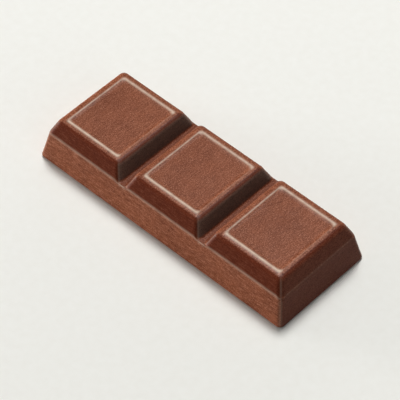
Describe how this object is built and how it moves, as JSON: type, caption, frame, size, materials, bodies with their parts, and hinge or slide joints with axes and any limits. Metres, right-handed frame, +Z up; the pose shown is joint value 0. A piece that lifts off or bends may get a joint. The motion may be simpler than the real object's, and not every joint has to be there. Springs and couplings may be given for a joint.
{
  "type": "chocolate stick",
  "caption": "Moulded milk chocolate stick with a row of raised square blocks, sunk panels on top and V grooves to break it at.",
  "frame": {"origin": "middle of the flat underside", "axes": "+X along the stick, +Y across it, +Z up from the underside to the blocks"},
  "size_m": [0.0674, 0.0254, 0.0105],
  "materials": {
    "milk_chocolate": "milk chocolate, satin from the mould, with a soft sheen"
  },
  "bodies": {
    "root": {"chocolate_stick": "milk_chocolate"}
  },
  "joints": []
}
